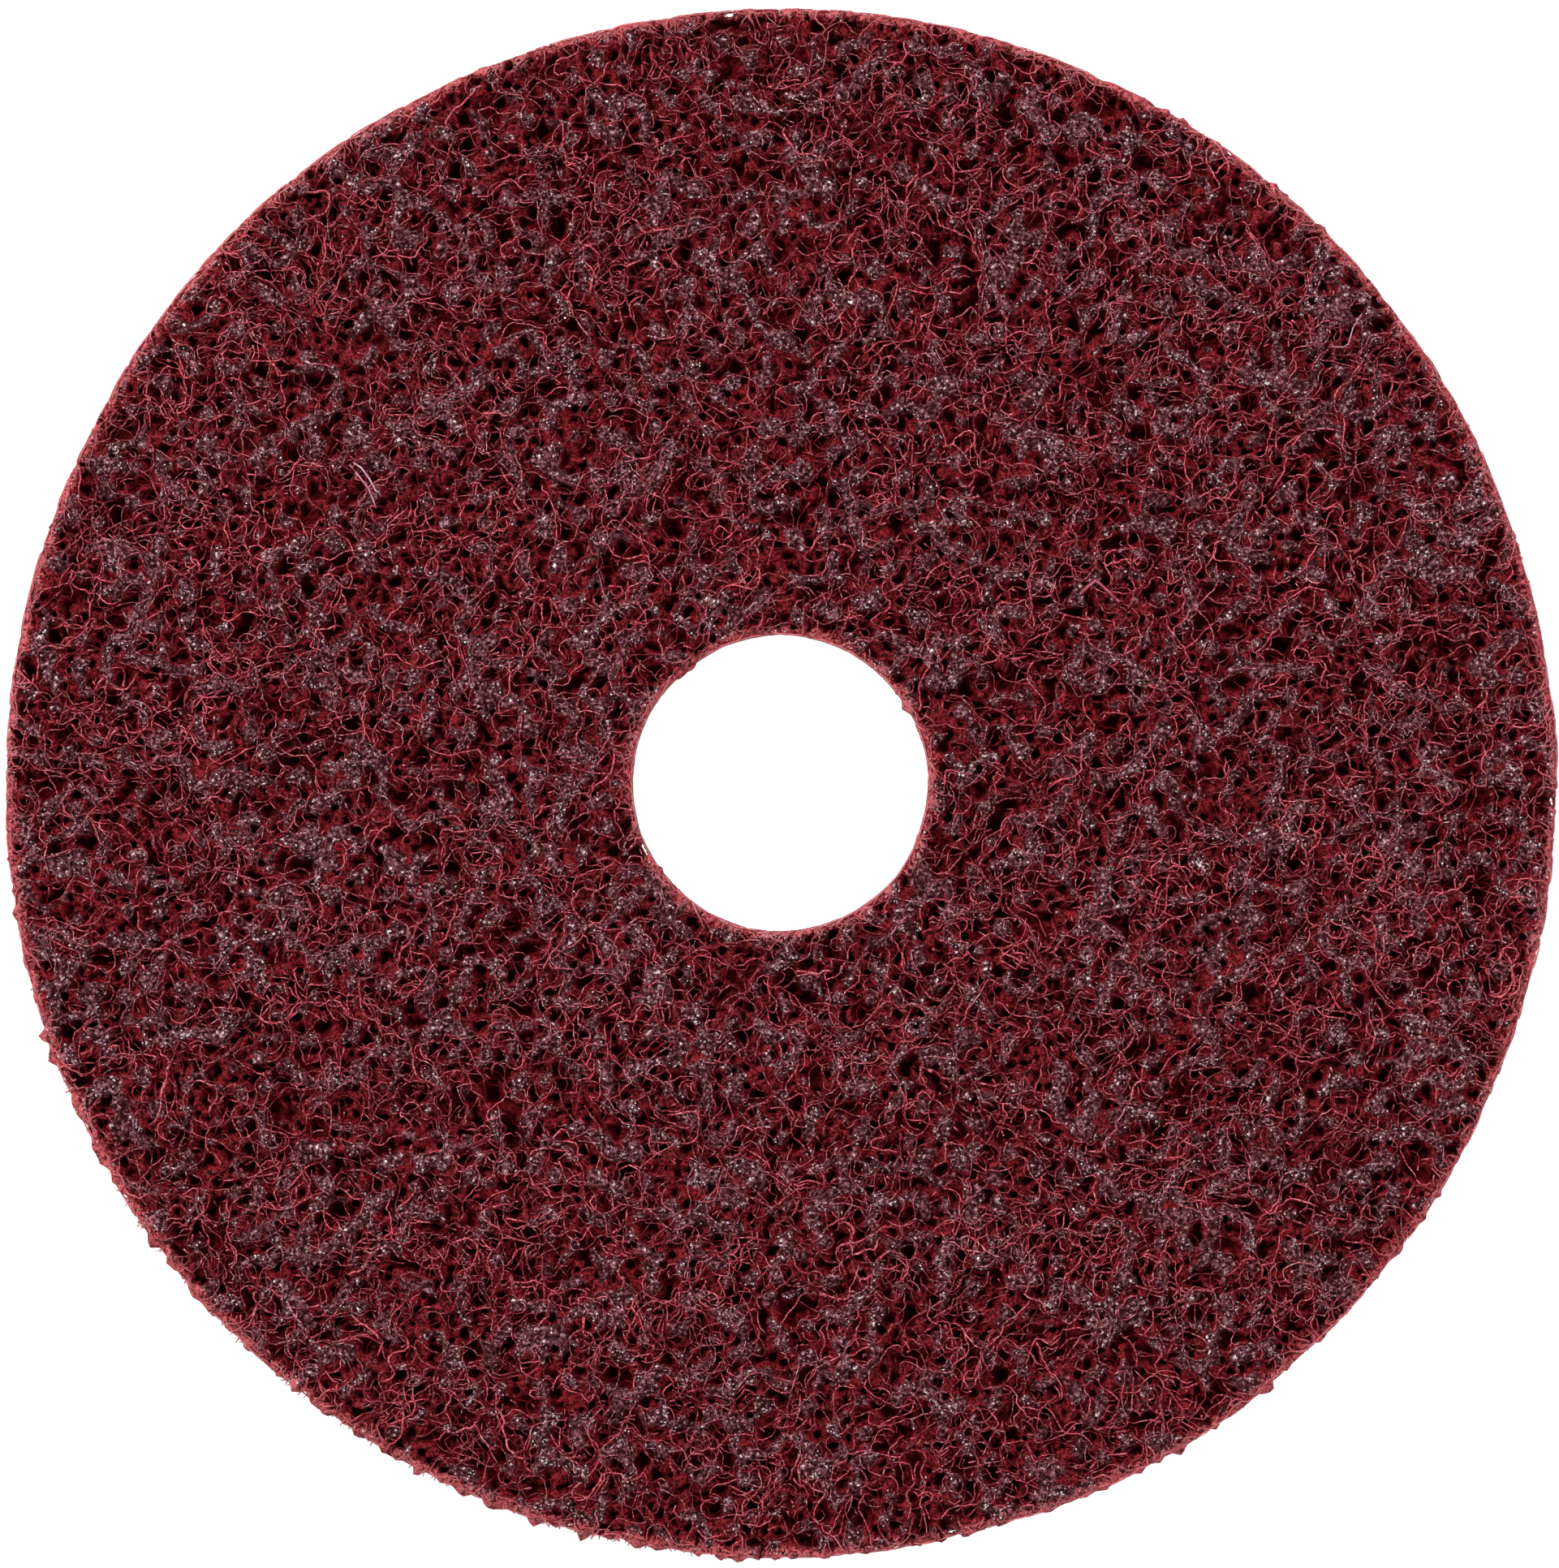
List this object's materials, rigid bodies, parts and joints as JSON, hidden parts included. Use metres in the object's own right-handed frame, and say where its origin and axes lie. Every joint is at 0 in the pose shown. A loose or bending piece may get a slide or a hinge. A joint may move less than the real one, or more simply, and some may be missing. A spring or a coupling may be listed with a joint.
{
  "type": "scouring pad",
  "caption": "Round non-woven scouring pad with a central bore, punched from an open web of resin-bonded fibre that carries abrasive grain.",
  "frame": {"origin": "on the bore's axis, in the plane of the flat back", "axes": "+Z along the bore's axis, out of the open working face; X and Y across the disc"},
  "size_m": [0.1152, 0.1151, 0.005],
  "materials": {
    "abrasive_web": "open maroon fibre web, matt resin, glinting abrasive grain"
  },
  "bodies": {
    "root": {"scouring_pad": "abrasive_web"}
  },
  "joints": []
}
